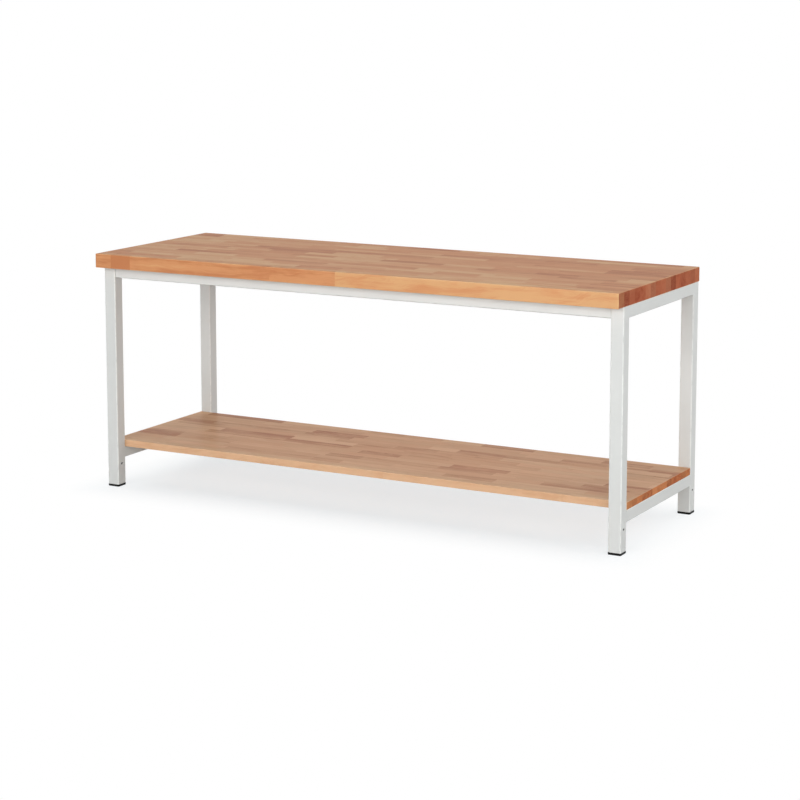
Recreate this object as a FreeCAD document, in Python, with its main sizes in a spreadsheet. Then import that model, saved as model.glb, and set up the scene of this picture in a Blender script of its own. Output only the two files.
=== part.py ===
"""Assembly table: a beech worktop and a beech shelf on a welded and bolted steel tube frame.

Lengths are in millimetres.  +X runs along the table, +Y to its back and +Z up.  The origin lies on the
floor, under the middle of the worktop.
"""

import FreeCAD, Part
import math
import os

import Sketcher
from FreeCAD import Rotation, Vector

# Driving sizes: name, value, what it sets.
SIZES = (
    ("top_length", 2000, "worktop along X"),
    ("top_depth", 700, "worktop along Y"),
    ("top_thickness", 50, "worktop along Z"),
    ("top_edge_radius", 3, "rounding of the worktop's edges"),
    ("corner_extra", 1, "a board's upright corners' radius over that of its edges"),
    ("table_height", 850, "floor to the worktop's upper face"),
    ("end_inset", 2, "worktop's ends past the legs' outer faces"),
    ("front_overhang", 50, "worktop's front past the front legs"),
    ("back_inset", 2, "worktop's back past the back legs"),
    ("leg_section", 45, "side of the square leg tube"),
    ("leg_wall", 2, "wall of the leg tube"),
    ("leg_corner_radius", 4, "outer corner radius of the leg tube"),
    ("leg_inner_radius", 2, "inner corner radius of the leg tube"),
    ("rail_width", 40, "rail tube across, level"),
    ("rail_height", 40, "rail tube along Z"),
    ("rail_wall", 2, "wall of the rail tubes"),
    ("rail_corner_radius", 3.5, "outer corner radius of the rail tubes"),
    ("rail_inner_radius", 1.5, "inner corner radius of the rail tubes"),
    ("rail_end_gap", 0.5, "bolted long rail to the leg's inner face"),
    ("shelf_height", 165, "floor to the shelf's upper face"),
    ("shelf_thickness", 25, "shelf along Z"),
    ("shelf_edge_radius", 2, "rounding of the shelf's edges"),
    ("shelf_leg_gap", 1, "shelf to the legs in front of it and behind it"),
    ("foot_height", 8, "plate of the foot cap under the leg"),
    ("foot_lip", 0.6, "foot plate past the leg's faces"),
    ("foot_edge_radius", 1.5, "rounding under the foot plate"),
    ("foot_plug_length", 24, "foot plug inside the leg"),
    ("foot_plug_wall", 2.5, "wall of the foot plug"),
    ("foot_plug_gap", 0.3, "foot plug to the leg's inner faces"),
    ("foot_hollow_radius", 1, "corner radius of the foot plug's hollow"),
    ("anchor_hole_diameter", 9, "cross hole low in each leg"),
    ("anchor_hole_height", 82, "floor to the cross hole's axis"),
    ("bracket_flange", 62, "corner bracket's flange, from the corner"),
    ("bracket_height", 32, "corner bracket along Z"),
    ("bracket_thickness", 4, "corner bracket's sheet"),
    ("bracket_bend_radius", 3, "inside bend of the corner bracket"),
    ("bolt_first", 23, "corner to the first bolt"),
    ("bolt_pitch", 24, "first bolt to the second"),
    ("bolt_diameter", 8, "thread of the frame bolts"),
    ("bolt_clearance", 1, "bracket hole over the thread"),
    ("bolt_length", 18, "frame bolt under its head"),
    ("bolt_bevel", 1, "bevel at the bolt's end"),
    ("bolt_head_across", 13, "hexagon across its flats"),
    ("bolt_head_height", 6.5, "hexagon and flange together"),
    ("bolt_flange_diameter", 17, "flange under the hexagon"),
    ("bolt_flange_height", 1.6, "flange under the hexagon"),
    ("nut_diameter", 11, "body of the blind rivet nut"),
    ("nut_length", 15, "rivet nut in from the rail's face"),
    ("nut_bulge_diameter", 14, "bulge behind the rail's wall"),
    ("nut_bulge_length", 3, "bulge behind the rail's wall"),
    ("thread_gap", 0.1, "all round between a thread and what it is screwed into"),
    ("top_screw_diameter", 6, "worktop screw's thread"),
    ("top_screw_length", 40, "worktop screw under its head"),
    ("top_screw_head", 12, "worktop screw's pan head across"),
    ("top_screw_inset", 153, "outer screws of a long rail to the leg beside them"),
    ("end_screw_inset", 129, "screws of an end rail to the leg beside them"),
    ("shelf_screw_diameter", 5, "shelf screw's thread"),
    ("shelf_screw_length", 20, "shelf screw under its head"),
    ("shelf_screw_head", 10, "shelf screw's pan head across"),
    ("screw_head_share", 0.35, "pan head's height over its width"),
    ("screw_tip_radius", 0.3, "blunt end of a screw's point"),
    ("pilot_extra", 1, "pilot hole past the screw's point"),
    ("screw_hole_clearance", 1, "rail hole over the screw's thread"),
    ("driver_hole_clearance", 3, "hole in the rail's lower wall over the screw's head"),
    ("weld_size", 2.5, "leg of the fillet welds"),
    ("seam_share", 0.75, "welded seam's width over the leg's corner radius"),
)

# Places that follow from the driving sizes, as expressions of the sheet's aliases.
FRAME_END = "(sizes.top_length / 2 - sizes.end_inset)"
FRAME_FRONT = "(sizes.front_overhang - sizes.top_depth / 2)"
FRAME_BACK = "(sizes.top_depth / 2 - sizes.back_inset)"
FRAME_TOP = "(sizes.table_height - sizes.top_thickness)"
LEG_CENTRE = f"({FRAME_END} - sizes.leg_section / 2)"
INNER_FRONT = f"({FRAME_FRONT} + sizes.leg_section)"
INNER_BACK = f"({FRAME_BACK} - sizes.leg_section)"
FRAME_MIDDLE = f"(({INNER_FRONT} + {INNER_BACK}) / 2)"
LEG_LENGTH = f"({FRAME_TOP} - sizes.foot_height)"
LONG_RAIL_LENGTH = f"(2 * ({FRAME_END} - sizes.leg_section - sizes.rail_end_gap))"
END_RAIL_LENGTH = f"({INNER_BACK} - {INNER_FRONT})"
END_RAIL_CENTRE = f"({FRAME_END} - sizes.rail_width / 2)"
END_RAIL_INSIDE = f"({FRAME_END} - sizes.rail_width)"
UPPER_RAIL_CENTRE = f"({FRAME_TOP} - sizes.rail_height / 2)"
SHELF_BOTTOM = "(sizes.shelf_height - sizes.shelf_thickness)"
LOWER_RAIL_CENTRE = f"({SHELF_BOTTOM} - sizes.rail_height / 2)"
SECOND_BOLT = "(sizes.bolt_first + sizes.bolt_pitch)"
LONG_SCREW_REACH = f"({FRAME_END} - sizes.leg_section - sizes.top_screw_inset)"
END_SCREW_REACH = f"({END_RAIL_LENGTH} / 2 - sizes.end_screw_inset)"

# The table's two ends along X and its two long sides along Y, each with the sign of its half.
ENDS = (("left", -1), ("right", 1))
SIDES = (("front", -1), ("back", 1))
# Turn about Z, in degrees, that brings a corner piece drawn in the +X +Y quarter to each inner corner.
CORNER_TURNS = {("left", "front"): 0, ("right", "front"): 90, ("right", "back"): 180, ("left", "back"): 270}

ROOT_OF_THREE = math.sqrt(3)
# Points nearer to each other than this count as one when an edge is looked up.
TOUCH = 1e-6

doc = FreeCAD.newDocument("assembly_table")
sheet = doc.addObject("Spreadsheet::Sheet", "sizes")
sub_parts = []


def fill_sheet():
    """Writes the driving sizes into the sheet, one row each, with an alias for each value."""
    for row, (name, value, note) in enumerate(SIZES, start=1):
        sheet.set(f"A{row}", name)
        sheet.set(f"B{row}", str(value))
        sheet.set(f"C{row}", note)
        sheet.setAlias(f"B{row}", name)
    doc.recompute()


def number(expression):
    """The value of an expression of the sheet's aliases, as a plain number."""
    return float(sheet.evalExpression(expression.replace("sizes.", "")))


def bind(item, **expressions):
    """Binds properties of a document object to expressions; a double underscore stands for a dot."""
    for name, expression in expressions.items():
        item.setExpression(name.replace("__", "."), expression)


def place(item, x, y, z, rotation=Rotation()):
    """Turns an object, then binds its position to three expressions."""
    item.Placement = FreeCAD.Placement(Vector(), rotation)
    bind(item, Placement__Base__x=x, Placement__Base__y=y, Placement__Base__z=z)


def keep(item, label):
    """Names a finished sub-part and puts it on the list of those to write out."""
    item.Label = label
    sub_parts.append(item)


# Sketches


def new_sketch(body, name, plane_role):
    """A sketch on one of the body's own origin planes."""
    sketch = body.newObject("Sketcher::SketchObject", name)
    plane = next(item for item in body.Origin.OriginFeatures if item.Role == plane_role)
    sketch.AttachmentSupport = (plane, [""])
    sketch.MapMode = "FlatFace"
    return sketch


def constrain(sketch, name, expression, *constraint):
    """Adds a named dimension to a sketch and binds it to an expression."""
    index = sketch.addConstraint(Sketcher.Constraint(*constraint, number(expression)))
    sketch.renameConstraint(index, name)
    sketch.setExpression(f"Constraints.{name}", expression)


def add_round_rectangle(sketch, name, width, height, radius):
    """A rectangle with round corners about the sketch's origin, its sizes bound to expressions."""
    half_width = number(width) / 2
    half_height = number(height) / 2
    corner = number(radius)
    arcs = []
    for turn, (side_x, side_y) in enumerate(((1, 1), (-1, 1), (-1, -1), (1, -1))):
        centre = Vector(side_x * (half_width - corner), side_y * (half_height - corner), 0)
        circle = Part.Circle(centre, Vector(0, 0, 1), corner)
        start = turn * math.pi / 2
        arcs.append(sketch.addGeometry(Part.ArcOfCircle(circle, start, start + math.pi / 2)))
    ends = [sketch.Geometry[arc].EndPoint for arc in arcs]
    starts = [sketch.Geometry[arc].StartPoint for arc in arcs]
    lines = [
        sketch.addGeometry(Part.LineSegment(ends[turn], starts[(turn + 1) % 4])) for turn in range(4)
    ]
    for turn in range(4):
        sketch.addConstraint(Sketcher.Constraint("Tangent", arcs[turn], 2, lines[turn], 1))
        sketch.addConstraint(Sketcher.Constraint("Tangent", lines[turn], 2, arcs[(turn + 1) % 4], 1))
        direction = "Horizontal" if turn % 2 == 0 else "Vertical"
        sketch.addConstraint(Sketcher.Constraint(direction, lines[turn]))
    for arc in arcs[1:]:
        sketch.addConstraint(Sketcher.Constraint("Equal", arcs[0], arc))
    sketch.addConstraint(Sketcher.Constraint("Symmetric", arcs[0], 3, arcs[2], 3, -1, 1))
    constrain(sketch, f"{name}_radius", radius, "Radius", arcs[0])
    constrain(sketch, f"{name}_width", width, "DistanceX", lines[1], 1, lines[3], 1)
    constrain(sketch, f"{name}_height", height, "DistanceY", lines[2], 1, lines[0], 1)


def add_circle(sketch, name, along, across, diameter):
    """A circle at two expressions from the sketch's origin; None puts it on that axis."""
    centre = Vector(number(along) if along else 0, number(across) if across else 0, 0)
    circle = sketch.addGeometry(Part.Circle(centre, Vector(0, 0, 1), number(diameter) / 2))
    constrain(sketch, f"{name}_diameter", diameter, "Diameter", circle)
    if along:
        constrain(sketch, f"{name}_along", along, "DistanceX", -1, 1, circle, 3)
    else:
        sketch.addConstraint(Sketcher.Constraint("PointOnObject", circle, 3, -2))
    if across:
        constrain(sketch, f"{name}_across", across, "DistanceY", -1, 1, circle, 3)
    else:
        sketch.addConstraint(Sketcher.Constraint("PointOnObject", circle, 3, -1))


# Features of a body


def pad(body, name, sketch, length, midplane=False, backwards=False):
    """Pads a sketch by an expression and returns the feature."""
    feature = body.newObject("PartDesign::Pad", name)
    feature.Profile = sketch
    feature.Midplane = midplane
    feature.Reversed = backwards
    bind(feature, Length=length)
    return feature


def cut(body, name, sketch, depth=None, with_normal=False, both_ways=False):
    """Pockets a sketch, to a depth or right through, and makes sure that it removed material."""
    doc.recompute()
    volume_before = body.Shape.Volume
    feature = body.newObject("PartDesign::Pocket", name)
    feature.Profile = sketch
    feature.Reversed = with_normal
    feature.Midplane = both_ways
    if depth is None:
        feature.Type = "ThroughAll"
    else:
        bind(feature, Length=depth)
    doc.recompute()
    if body.Shape.Volume >= volume_before:
        raise RuntimeError(f"{body.Label}: {name} removes nothing")
    return feature


def edge_names(shape, chosen):
    """The names of the edges that a test on their two ends picks out."""
    names = []
    for index, edge in enumerate(shape.Edges, start=1):
        if chosen(edge.Vertexes[0].Point, edge.Vertexes[-1].Point):
            names.append(f"Edge{index}")
    return names


def fillet(body, name, base, edges, radius):
    """Rounds named edges of a feature by an expression."""
    feature = body.newObject("PartDesign::Fillet", name)
    feature.Base = (base, edges)
    bind(feature, Radius=radius)
    return feature


# Boards


def make_board(label, length, depth, thickness, edge_radius, holes, hole_diameter, hole_depth):
    """A beech board with rounded edges and pilot holes bored up into its lower face."""
    body = doc.addObject("PartDesign::Body", label)
    outline = new_sketch(body, f"{label}_outline", "XY_Plane")
    add_round_rectangle(outline, "board", length, depth, f"{edge_radius} + sizes.corner_extra")
    slab = pad(body, f"{label}_slab", outline, thickness)
    doc.recompute()
    rims = edge_names(slab.Shape, lambda a, b: abs(a.z - b.z) < TOUCH)
    fillet(body, f"{label}_rounding", slab, rims, edge_radius)
    doc.recompute()
    pilots = new_sketch(body, f"{label}_pilots", "XY_Plane")
    for index, (along, across) in enumerate(holes):
        add_circle(pilots, f"pilot_{index}", along, across, hole_diameter)
    cut(body, f"{label}_pilot_holes", pilots, hole_depth, with_normal=True)
    return body


# Frame tubes


def make_leg(label, end_sign, centre_y):
    """A square leg tube with a cross hole low in its two end-facing walls."""
    body = doc.addObject("PartDesign::Body", label)
    section = new_sketch(body, f"{label}_section", "XY_Plane")
    inside = "sizes.leg_section - 2 * sizes.leg_wall"
    add_round_rectangle(section, "outer", "sizes.leg_section", "sizes.leg_section", "sizes.leg_corner_radius")
    add_round_rectangle(section, "inner", inside, inside, "sizes.leg_inner_radius")
    pad(body, f"{label}_tube", section, LEG_LENGTH)
    hole = new_sketch(body, f"{label}_hole", "YZ_Plane")
    height = "sizes.anchor_hole_height - sizes.foot_height"
    add_circle(hole, "anchor", None, height, "sizes.anchor_hole_diameter")
    cut(body, f"{label}_anchor_hole", hole, both_ways=True)
    place(body, f"{end_sign} * {LEG_CENTRE}", centre_y, "sizes.foot_height")
    keep(body, label)


def add_rail_holes(body, label, axis_is_x, screw_places, screw, wall_holes):
    """Bores screw holes up and driver holes down through a rail, and nut holes through its inner wall."""
    ups = new_sketch(body, f"{label}_screws", "XY_Plane")
    downs = new_sketch(body, f"{label}_drivers", "XY_Plane")
    for index, where in enumerate(screw_places):
        along, across = (where, None) if axis_is_x else (None, where)
        screw_hole = f"sizes.{screw}_diameter + sizes.screw_hole_clearance"
        driver_hole = f"sizes.{screw}_head + sizes.driver_hole_clearance"
        add_circle(ups, f"screw_{index}", along, across, screw_hole)
        add_circle(downs, f"driver_{index}", along, across, driver_hole)
    cut(body, f"{label}_screw_holes", ups, "sizes.rail_height", with_normal=True)
    cut(body, f"{label}_driver_holes", downs, "sizes.rail_height")
    if not wall_holes:
        return
    # The nut holes go through the wall on the local +Y side of a long rail and the -X side of an end rail.
    nuts = new_sketch(body, f"{label}_nuts", "XZ_Plane" if axis_is_x else "YZ_Plane")
    for index, where in enumerate(wall_holes):
        add_circle(nuts, f"nut_{index}", where, None, "sizes.nut_diameter")
    cut(body, f"{label}_nut_holes", nuts, "sizes.rail_width")


def make_rail_tube(label, axis_is_x, length):
    """A hollow rail, centred on its own origin."""
    body = doc.addObject("PartDesign::Body", label)
    section = new_sketch(body, f"{label}_section", "YZ_Plane" if axis_is_x else "XZ_Plane")
    add_round_rectangle(section, "outer", "sizes.rail_width", "sizes.rail_height", "sizes.rail_corner_radius")
    add_round_rectangle(
        section,
        "inner",
        "sizes.rail_width - 2 * sizes.rail_wall",
        "sizes.rail_height - 2 * sizes.rail_wall",
        "sizes.rail_inner_radius",
    )
    pad(body, f"{label}_tube", section, length, midplane=True)
    doc.recompute()
    return body


def make_long_rail(label, side_sign):
    """An upper rail between two legs, bolted in; its inner face lies in the legs' inner faces."""
    body = make_rail_tube(label, True, LONG_RAIL_LENGTH)
    bolts = []
    for bolt in ("sizes.bolt_first", SECOND_BOLT):
        for sign in (-1, 1):
            bolts.append(f"{sign} * ({END_RAIL_INSIDE} - {bolt})")
    screws = (f"-{LONG_SCREW_REACH}", None, LONG_SCREW_REACH)
    add_rail_holes(body, label, True, screws, "top_screw", bolts)
    inner = INNER_FRONT if side_sign < 0 else INNER_BACK
    centre_y = f"{inner} + {side_sign} * sizes.rail_width / 2"
    turn = Rotation(Vector(0, 0, 1), 0 if side_sign < 0 else 180)
    place(body, "0", centre_y, UPPER_RAIL_CENTRE, turn)
    keep(body, label)


def make_end_rail(label, end_sign, centre_z, screw, bolted):
    """A rail welded between the front and the back leg, flush with their outer faces."""
    body = make_rail_tube(label, False, END_RAIL_LENGTH)
    bolts = []
    if bolted:
        for bolt in ("sizes.bolt_first", SECOND_BOLT):
            for sign in (-1, 1):
                bolts.append(f"{sign} * ({END_RAIL_LENGTH} / 2 - {bolt})")
    screws = (f"-{END_SCREW_REACH}", END_SCREW_REACH)
    add_rail_holes(body, label, False, screws, screw, bolts)
    turn = Rotation(Vector(0, 0, 1), 0 if end_sign > 0 else 180)
    place(body, f"{end_sign} * {END_RAIL_CENTRE}", FRAME_MIDDLE, centre_z, turn)
    keep(body, label)


# Feet


def make_foot(label, end_sign, centre_y):
    """A plastic foot cap: a plate under the leg and a hollow plug inside it."""
    body = doc.addObject("PartDesign::Body", label)
    plate_side = "sizes.leg_section + 2 * sizes.foot_lip"
    plate_corner = "sizes.leg_corner_radius + sizes.foot_lip"
    outline = new_sketch(body, f"{label}_outline", "XY_Plane")
    add_round_rectangle(outline, "plate", plate_side, plate_side, plate_corner)
    plate = pad(body, f"{label}_plate", outline, "sizes.foot_height")
    doc.recompute()
    floor_edges = edge_names(plate.Shape, lambda a, b: max(abs(a.z), abs(b.z)) < TOUCH)
    fillet(body, f"{label}_rounding", plate, floor_edges, "sizes.foot_edge_radius")
    doc.recompute()
    ring = new_sketch(body, f"{label}_ring", "XY_Plane")
    plug_side = "sizes.leg_section - 2 * sizes.leg_wall - 2 * sizes.foot_plug_gap"
    add_round_rectangle(ring, "plug", plug_side, plug_side, "sizes.leg_inner_radius")
    pad(body, f"{label}_plug", ring, "sizes.foot_height + sizes.foot_plug_length")
    doc.recompute()
    core = new_sketch(body, f"{label}_core", "XY_Plane")
    core_side = f"{plug_side} - 2 * sizes.foot_plug_wall"
    add_round_rectangle(core, "core", core_side, core_side, "sizes.foot_hollow_radius")
    bind(core, AttachmentOffset__Base__z="sizes.foot_height")
    cut(body, f"{label}_hollow", core, "sizes.foot_plug_length", with_normal=True)
    place(body, f"{end_sign} * {LEG_CENTRE}", centre_y, "0")
    keep(body, label)


# Corner brackets


def make_bracket(label, turn, corner_x, corner_y):
    """A bent steel angle that joins a long rail to an end rail, on the frame's inside."""
    body = doc.addObject("PartDesign::Body", label)
    profile = new_sketch(body, f"{label}_profile", "XY_Plane")
    flange = number("sizes.bracket_flange")
    sheet_thickness = number("sizes.bracket_thickness")
    points = (
        Vector(0, 0, 0),
        Vector(flange, 0, 0),
        Vector(flange, sheet_thickness, 0),
        Vector(sheet_thickness, sheet_thickness, 0),
        Vector(sheet_thickness, flange, 0),
        Vector(0, flange, 0),
    )
    for start, end in zip(points, points[1:] + points[:1]):
        profile.addGeometry(Part.LineSegment(start, end))
    for index in range(6):
        profile.addConstraint(Sketcher.Constraint("Coincident", index, 2, (index + 1) % 6, 1))
        direction = "Horizontal" if index % 2 == 0 else "Vertical"
        profile.addConstraint(Sketcher.Constraint(direction, index))
    profile.addConstraint(Sketcher.Constraint("Coincident", 0, 1, -1, 1))
    profile.addConstraint(Sketcher.Constraint("Equal", 0, 5))
    profile.addConstraint(Sketcher.Constraint("Equal", 1, 4))
    constrain(profile, "flange", "sizes.bracket_flange", "DistanceX", 0, 1, 0, 2)
    constrain(profile, "thickness", "sizes.bracket_thickness", "DistanceY", 1, 1, 1, 2)
    angle = pad(body, f"{label}_angle", profile, "sizes.bracket_height", midplane=True)
    doc.recompute()
    outside = edge_names(angle.Shape, lambda a, b: max(a.x, a.y, b.x, b.y) < TOUCH)
    outer_bend = "sizes.bracket_bend_radius + sizes.bracket_thickness"
    bend = fillet(body, f"{label}_bend", angle, outside, outer_bend)
    doc.recompute()
    inside = edge_names(
        bend.Shape,
        lambda a, b: max(abs(p - sheet_thickness) for p in (a.x, a.y, b.x, b.y)) < TOUCH,
    )
    fillet(body, f"{label}_inner_bend", bend, inside, "sizes.bracket_bend_radius")
    doc.recompute()
    diameter = "sizes.bolt_diameter + sizes.bolt_clearance"
    for plane, name in (("XZ_Plane", "along_x"), ("YZ_Plane", "along_y")):
        holes = new_sketch(body, f"{label}_{name}", plane)
        add_circle(holes, "first", "sizes.bolt_first", None, diameter)
        add_circle(holes, "second", SECOND_BOLT, None, diameter)
        cut(body, f"{label}_holes_{name}", holes, both_ways=True)
    place(body, corner_x, corner_y, UPPER_RAIL_CENTRE, Rotation(Vector(0, 0, 1), turn))
    keep(body, label)


# Fasteners: each kind is made once from primitives, with its seat at the origin and its shank along +Z


def primitive(kind, name, z, **expressions):
    """A Part primitive on the Z axis, its sizes bound to expressions."""
    item = doc.addObject(f"Part::{kind}", name)
    bind(item, Placement__Base__z=z, **expressions)
    return item


def fuse(name, items):
    """One solid made of several primitives."""
    joined = doc.addObject("Part::MultiFuse", name)
    joined.Shapes = items
    return joined


def make_bolt():
    """A hexagon flange bolt; the underside of its flange is at z = 0."""
    head = doc.addObject("Part::Prism", "bolt_hexagon")
    head.Polygon = 6
    bind(
        head,
        Circumradius=f"sizes.bolt_head_across / {ROOT_OF_THREE}",
        Height="sizes.bolt_head_height",
        Placement__Base__z="-sizes.bolt_head_height",
    )
    cone = primitive(
        "Cone",
        "bolt_head_bevel",
        "-sizes.bolt_head_height",
        Radius1="sizes.bolt_head_across / 2",
        Radius2=f"sizes.bolt_head_across / 2 + {ROOT_OF_THREE} * sizes.bolt_head_height",
        Height="sizes.bolt_head_height",
    )
    bevelled = doc.addObject("Part::Common", "bolt_head")
    bevelled.Base = head
    bevelled.Tool = cone
    flange = primitive(
        "Cone",
        "bolt_flange",
        "-sizes.bolt_flange_height",
        Radius1="sizes.bolt_flange_diameter / 2 - sizes.bolt_flange_height / 2",
        Radius2="sizes.bolt_flange_diameter / 2",
        Height="sizes.bolt_flange_height",
    )
    shank = primitive(
        "Cylinder",
        "bolt_shank",
        "0",
        Radius="sizes.bolt_diameter / 2 - sizes.thread_gap",
        Height="sizes.bolt_length - sizes.bolt_bevel",
    )
    tip = primitive(
        "Cone",
        "bolt_tip",
        "sizes.bolt_length - sizes.bolt_bevel",
        Radius1="sizes.bolt_diameter / 2 - sizes.thread_gap",
        Radius2="sizes.bolt_diameter / 2 - sizes.thread_gap - sizes.bolt_bevel",
        Height="sizes.bolt_bevel",
    )
    return fuse("bolt", [bevelled, flange, shank, tip])


def make_rivet_nut():
    """A blind rivet nut: its open end is flush with the rail's face at z = 0, its bulge is behind it."""
    outside = "sizes.nut_diameter / 2"
    barrel = primitive("Cylinder", "nut_barrel", "0", Radius=outside, Height="sizes.nut_length")
    bulge = primitive(
        "Cylinder",
        "nut_bulge",
        "sizes.rail_wall",
        Radius="sizes.nut_bulge_diameter / 2",
        Height="sizes.nut_bulge_length",
    )
    body = fuse("nut_body", [barrel, bulge])
    inside = "sizes.bolt_diameter / 2"
    bore = primitive("Cylinder", "nut_bore", "0", Radius=inside, Height="sizes.nut_length")
    nut = doc.addObject("Part::Cut", "rivet_nut")
    nut.Base = body
    nut.Tool = bore
    return nut


def make_wood_screw(name, diameter, length, head):
    """A pan head wood screw; the underside of its head is at z = 0 and its point is up in the board."""
    radius = f"{diameter} / 2 - sizes.thread_gap"
    head_height = f"{head} * sizes.screw_head_share"
    crown = primitive(
        "Cone",
        f"{name}_head",
        f"-{head_height}",
        Radius1=f"{head} / 2 - {head_height} / 2",
        Radius2=f"{head} / 2",
        Height=head_height,
    )
    shank = primitive("Cylinder", f"{name}_shank", "0", Radius=radius, Height=f"{length} - {diameter}")
    point = primitive(
        "Cone",
        f"{name}_point",
        f"{length} - {diameter}",
        Radius1=radius,
        Radius2="sizes.screw_tip_radius",
        Height=diameter,
    )
    return fuse(name, [crown, shank, point])


def keep_group(label, source, placements):
    """Puts a copy of one fastener at each placement; together they are one sub-part."""
    doc.recompute()
    copies = []
    for placement in placements:
        copy = source.Shape.copy()
        copy.Placement = placement.multiply(copy.Placement)
        copies.append(copy)
    group = doc.addObject("Part::Feature", label)
    group.Shape = Part.makeCompound(copies)
    keep(group, label)


def bolt_placements(seat):
    """Where the frame bolts' axes meet a plane that lies a given way in from the rails' inner faces."""
    placements = []
    height = number(UPPER_RAIL_CENTRE)
    rail_inside = number(END_RAIL_INSIDE)
    for end, end_sign in ENDS:
        for side, side_sign in SIDES:
            inner = number(INNER_FRONT if side_sign < 0 else INNER_BACK)
            for bolt in ("sizes.bolt_first", SECOND_BOLT):
                reach = number(bolt)
                into_long_rail = Rotation(Vector(0, 0, 1), Vector(0, side_sign, 0))
                on_long_rail = Vector(end_sign * (rail_inside - reach), inner - side_sign * seat, height)
                placements.append(FreeCAD.Placement(on_long_rail, into_long_rail))
                into_end_rail = Rotation(Vector(0, 0, 1), Vector(end_sign, 0, 0))
                on_end_rail = Vector(end_sign * (rail_inside - seat), inner - side_sign * reach, height)
                placements.append(FreeCAD.Placement(on_end_rail, into_end_rail))
    return placements


def worktop_screw_places():
    """Expressions for the worktop screws' X and Y: three in each long rail and two in each end rail."""
    places = []
    for inner, sign in ((INNER_FRONT, -1), (INNER_BACK, 1)):
        across = f"{inner} + {sign} * sizes.rail_width / 2"
        for along in (f"-{LONG_SCREW_REACH}", None, LONG_SCREW_REACH):
            places.append((along, across))
    return places + end_screw_places()


def end_screw_places():
    """Expressions for the screws' X and Y in the two end rails."""
    places = []
    for _end, end_sign in ENDS:
        for sign in (-1, 1):
            along = f"{end_sign} * {END_RAIL_CENTRE}"
            places.append((along, f"{FRAME_MIDDLE} + {sign} * {END_SCREW_REACH}"))
    return places


def screw_placements(places, rail_top):
    """Upright screws whose heads bear on the inside of the rails' upper walls."""
    seat = number(rail_top) - number("sizes.rail_wall")
    return [
        FreeCAD.Placement(Vector(number(along) if along else 0, number(across), seat), Rotation())
        for along, across in places
    ]


# Welds


def make_fillet_weld(name, length, x, y, z, rotation):
    """A quarter-round bead along the corner between two faces."""
    bead = doc.addObject("Part::Cylinder", name)
    bead.Angle = 90
    bind(bead, Radius="sizes.weld_size", Height=length)
    place(bead, x, y, z, rotation)
    return bead


def make_seam_weld(name, length, end_sign, side_sign, corner_y, z):
    """Weld metal, ground flush, in the groove between the leg's round corner and the end of a rail."""
    width = "sizes.seam_share * sizes.leg_corner_radius"
    outer_x = f"{end_sign} * {FRAME_END}"
    block = doc.addObject("Part::Box", f"{name}_block")
    bind(block, Length=width, Width=width, Height=length)
    x = f"{outer_x} - {width}" if end_sign > 0 else outer_x
    y = corner_y if side_sign > 0 else f"{corner_y} - {width}"
    place(block, x, y, z)
    corner = doc.addObject("Part::Cylinder", f"{name}_corner")
    bind(corner, Radius="sizes.leg_corner_radius", Height=length)
    corner_x = f"{outer_x} - {end_sign} * sizes.leg_corner_radius"
    place(corner, corner_x, f"{corner_y} + {side_sign} * sizes.leg_corner_radius", z)
    seam = doc.addObject("Part::Cut", name)
    seam.Base = block
    seam.Tool = corner
    return seam


def make_welds(label, end, end_sign):
    """All the weld beads of one end frame: at each rail end one below, one inside and one outside."""
    beads = []
    level_length = "sizes.rail_width - 2 * sizes.rail_corner_radius"
    upright_length = "sizes.rail_height - 2 * sizes.rail_corner_radius"
    for rail, centre_z in (("upper", UPPER_RAIL_CENTRE), ("lower", LOWER_RAIL_CENTRE)):
        bottom = f"{centre_z} - sizes.rail_height / 2"
        start_z = f"{bottom} + sizes.rail_corner_radius"
        for side, side_sign in SIDES:
            corner_y = INNER_FRONT if side_sign < 0 else INNER_BACK
            name = f"{label}_{rail}_{side}"
            down = Vector(0, 0, -1)
            away = Vector(0, -side_sign, 0)
            first, second = (away, down) if side_sign < 0 else (down, away)
            level = Rotation(first, second, Vector(-1, 0, 0), "XYZ")
            x = f"{end_sign} * {END_RAIL_CENTRE} + ({level_length}) / 2"
            beads.append(make_fillet_weld(f"{name}_below", level_length, x, corner_y, bottom, level))
            turn = Rotation(Vector(0, 0, 1), CORNER_TURNS[end, side])
            x = f"{end_sign} * {END_RAIL_INSIDE}"
            beads.append(make_fillet_weld(f"{name}_inside", upright_length, x, corner_y, start_z, turn))
            outside = f"{name}_outside"
            beads.append(make_seam_weld(outside, upright_length, end_sign, side_sign, corner_y, start_z))
    welds = doc.addObject("Part::Compound", label)
    welds.Links = beads
    keep(welds, label)


# The whole table


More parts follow.
